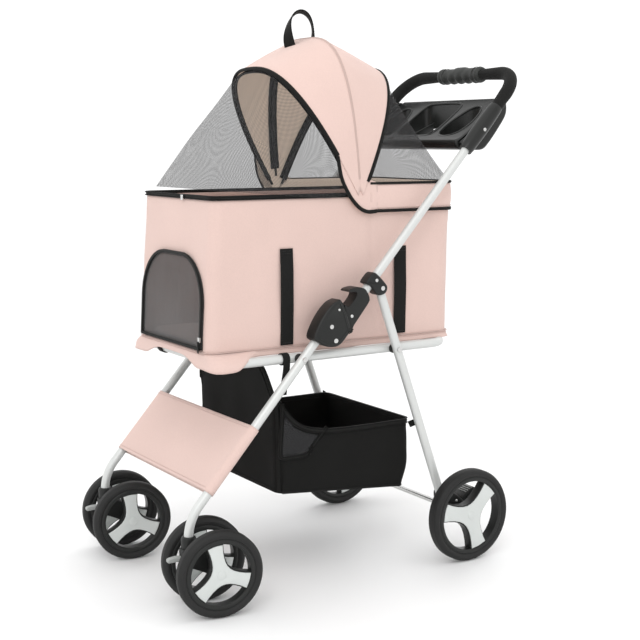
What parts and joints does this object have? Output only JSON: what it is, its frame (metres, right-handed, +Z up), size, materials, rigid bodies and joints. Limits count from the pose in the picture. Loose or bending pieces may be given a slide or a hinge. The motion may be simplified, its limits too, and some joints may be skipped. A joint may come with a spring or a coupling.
{
  "type": "pet stroller",
  "caption": "Folding pet stroller: fabric cabin with a mesh-windowed hood on a silver tube frame, swivel casters in front, storage basket and parent tray.",
  "frame": {"origin": "on the ground under the middle of the stroller's bounding box", "axes": "+X the stroller's left, -Y its front, +Z up"},
  "size_m": [0.486, 0.773, 1.028],
  "materials": {
    "silver_tube": "satin silver powder coat",
    "pink_fabric": "fine plain-weave polyester",
    "mesh_fabric": "open knitted mesh",
    "black_fabric": "coarse woven polyester",
    "black_plastic": "moulded, fine texture",
    "grey_plastic": "moulded",
    "foam": "closed-cell foam",
    "steel": "zinc plated",
    "tyre": "solid EVA tread",
    "wheel_plastic": "silver faced spokes"
  },
  "bodies": {
    "seat_frame": {"seat_loop": "silver_tube", "cabin_shell": "pink_fabric", "cabin_mat": "pink_fabric", "cabin_rim": "black_plastic", "hood_bow_rear": "black_plastic", "hood_band": "pink_fabric", "rear_mesh": "mesh_fabric", "basket": "black_fabric", "leg_pin_left": "steel", "leg_pin_right": "steel"},
    "hood_middle": {"hood_bow_middle": "black_plastic", "hood_rear_panel": "pink_fabric", "carry_loop": "black_fabric"},
    "hood_front": {"hood_bow_front": "black_plastic", "hood_front_panel": "pink_fabric", "front_mesh": "mesh_fabric"},
    "door": {"cabin_door": "mesh_fabric"},
    "front_frame": {"front_leg_left": "silver_tube", "front_leg_right": "silver_tube", "front_cross_tube": "silver_tube", "footrest_sleeve": "pink_fabric", "lock_housing_left": "black_plastic", "lock_housing_right": "black_plastic", "caster_socket_left": "black_plastic", "caster_socket_right": "black_plastic"},
    "handle_frame": {"handle_tube": "silver_tube", "foam_grip_left": "foam", "foam_grip_right": "foam", "centre_grip": "black_plastic", "parent_tray": "black_plastic", "rear_bracket_left": "black_plastic", "rear_bracket_right": "black_plastic"},
    "rear_frame": {"rear_leg_left": "silver_tube", "rear_leg_right": "silver_tube", "rear_axle": "steel", "hub_bracket_left": "black_plastic", "hub_bracket_right": "black_plastic"},
    "caster_left": {"caster_fork_left": "black_plastic", "front_axle_left": "steel"},
    "caster_lever_left": {"caster_lock_lever_left": "grey_plastic"},
    "catch_left": {"fold_catch_left": "black_plastic"},
    "brake_left": {"brake_pedal_left": "black_plastic"},
    "rear_wheel_left": {"rear_wheel_left_tyre": "tyre", "rear_wheel_left_centre": "wheel_plastic"},
    "front_wheel_left_outer": {"front_wheel_left_outer_tyre": "tyre", "front_wheel_left_outer_centre": "wheel_plastic"},
    "front_wheel_left_inner": {"front_wheel_left_inner_tyre": "tyre", "front_wheel_left_inner_centre": "wheel_plastic"},
    "caster_right": {"caster_fork_right": "black_plastic", "front_axle_right": "steel"},
    "caster_lever_right": {"caster_lock_lever_right": "grey_plastic"},
    "catch_right": {"fold_catch_right": "black_plastic"},
    "brake_right": {"brake_pedal_right": "black_plastic"},
    "rear_wheel_right": {"rear_wheel_right_tyre": "tyre", "rear_wheel_right_centre": "wheel_plastic"},
    "front_wheel_right_outer": {"front_wheel_right_outer_tyre": "tyre", "front_wheel_right_outer_centre": "wheel_plastic"},
    "front_wheel_right_inner": {"front_wheel_right_inner_tyre": "tyre", "front_wheel_right_inner_centre": "wheel_plastic"}
  },
  "joints": [
    {"name": "handle_fold", "type": "hinge", "parent": "front_frame", "child": "handle_frame", "pos_m": [0, -0.059, 0.4424], "axis": [-1, 0, 0], "range_deg": [0, 140]},
    {"name": "front_leg_fold", "type": "hinge", "parent": "seat_frame", "child": "front_frame", "pos_m": [0, -0.1155, 0.412], "axis": [1, 0, 0], "range_deg": [0, 104], "deforming": ["basket"]},
    {"name": "rear_leg_fold", "type": "hinge", "parent": "handle_frame", "child": "rear_frame", "pos_m": [0, 0.046, 0.528], "axis": [1, 0, 0], "range_deg": [0, 88]},
    {"name": "hood_middle_fold", "type": "hinge", "parent": "seat_frame", "child": "hood_middle", "pos_m": [0, 0.025, 0.684], "axis": [-1, 0, 0], "range_deg": [0, 22], "deforming": ["hood_rear_panel"]},
    {"name": "hood_front_fold", "type": "hinge", "parent": "hood_middle", "child": "hood_front", "pos_m": [0, 0.025, 0.684], "axis": [-1, 0, 0], "range_deg": [0, 19], "deforming": ["hood_front_panel", "front_mesh"]},
    {"name": "door_flap", "type": "hinge", "parent": "seat_frame", "child": "door", "pos_m": [0, -0.2822, 0.435], "axis": [1, 0, 0], "range_deg": [0, 150]},
    {"name": "caster_swivel_left", "type": "hinge", "parent": "front_frame", "child": "caster_left", "pos_m": [0.177, -0.3425, 0.1], "axis": [0, 0, 1], "continuous": true},
    {"name": "caster_lock_left", "type": "hinge", "parent": "caster_left", "child": "caster_lever_left", "pos_m": [0.17481, -0.35633, 0.095], "axis": [-0.9877, 0.1564, 0], "range_deg": [0, 30]},
    {"name": "front_wheel_spin_left_outer", "type": "hinge", "parent": "caster_left", "child": "front_wheel_left_outer", "pos_m": [0.22573, -0.30972, 0.075], "axis": [0.9877, -0.1564, 0], "continuous": true},
    {"name": "front_wheel_spin_left_inner", "type": "hinge", "parent": "caster_left", "child": "front_wheel_left_inner", "pos_m": [0.14079, -0.29627, 0.075], "axis": [0.9877, -0.1564, 0], "continuous": true},
    {"name": "rear_wheel_spin_left", "type": "hinge", "parent": "rear_frame", "child": "rear_wheel_left", "pos_m": [0.223, 0.2245, 0.0882], "axis": [1, 0, 0], "continuous": true},
    {"name": "catch_slide_left", "type": "slide", "parent": "handle_frame", "child": "catch_left", "axis": [0, 0.6717, 0.7408], "range_m": [0, 0.004], "stiffness_N_per_m": 1500, "springref_m": -0.003},
    {"name": "brake_press_left", "type": "hinge", "parent": "rear_frame", "child": "brake_left", "pos_m": [0.183, 0.2345, 0.1115], "axis": [-1, 0, 0], "range_deg": [0, 18]},
    {"name": "caster_swivel_right", "type": "hinge", "parent": "front_frame", "child": "caster_right", "pos_m": [-0.177, -0.3425, 0.1], "axis": [0, 0, 1], "continuous": true},
    {"name": "caster_lock_right", "type": "hinge", "parent": "caster_right", "child": "caster_lever_right", "pos_m": [-0.17919, -0.35633, 0.095], "axis": [-0.9877, 0.1564, 0], "range_deg": [0, 30]},
    {"name": "front_wheel_spin_right_outer", "type": "hinge", "parent": "caster_right", "child": "front_wheel_right_outer", "pos_m": [-0.21321, -0.29627, 0.075], "axis": [0.9877, -0.1564, 0], "continuous": true},
    {"name": "front_wheel_spin_right_inner", "type": "hinge", "parent": "caster_right", "child": "front_wheel_right_inner", "pos_m": [-0.12827, -0.30972, 0.075], "axis": [0.9877, -0.1564, 0], "continuous": true},
    {"name": "rear_wheel_spin_right", "type": "hinge", "parent": "rear_frame", "child": "rear_wheel_right", "pos_m": [-0.223, 0.2245, 0.0882], "axis": [1, 0, 0], "continuous": true},
    {"name": "catch_slide_right", "type": "slide", "parent": "handle_frame", "child": "catch_right", "axis": [0, 0.6717, 0.7408], "range_m": [0, 0.004], "stiffness_N_per_m": 1500, "springref_m": -0.003},
    {"name": "brake_press_right", "type": "hinge", "parent": "rear_frame", "child": "brake_right", "pos_m": [-0.183, 0.2345, 0.1115], "axis": [-1, 0, 0], "range_deg": [0, 18]}
  ],
  "couplings": [
    {"joint": "front_leg_fold", "follows": "handle_fold", "ratio": 0.735},
    {"joint": "rear_leg_fold", "follows": "handle_fold", "ratio": 0.6136},
    {"joint": "hood_front_fold", "follows": "hood_middle_fold", "ratio": 0.85}
  ]
}
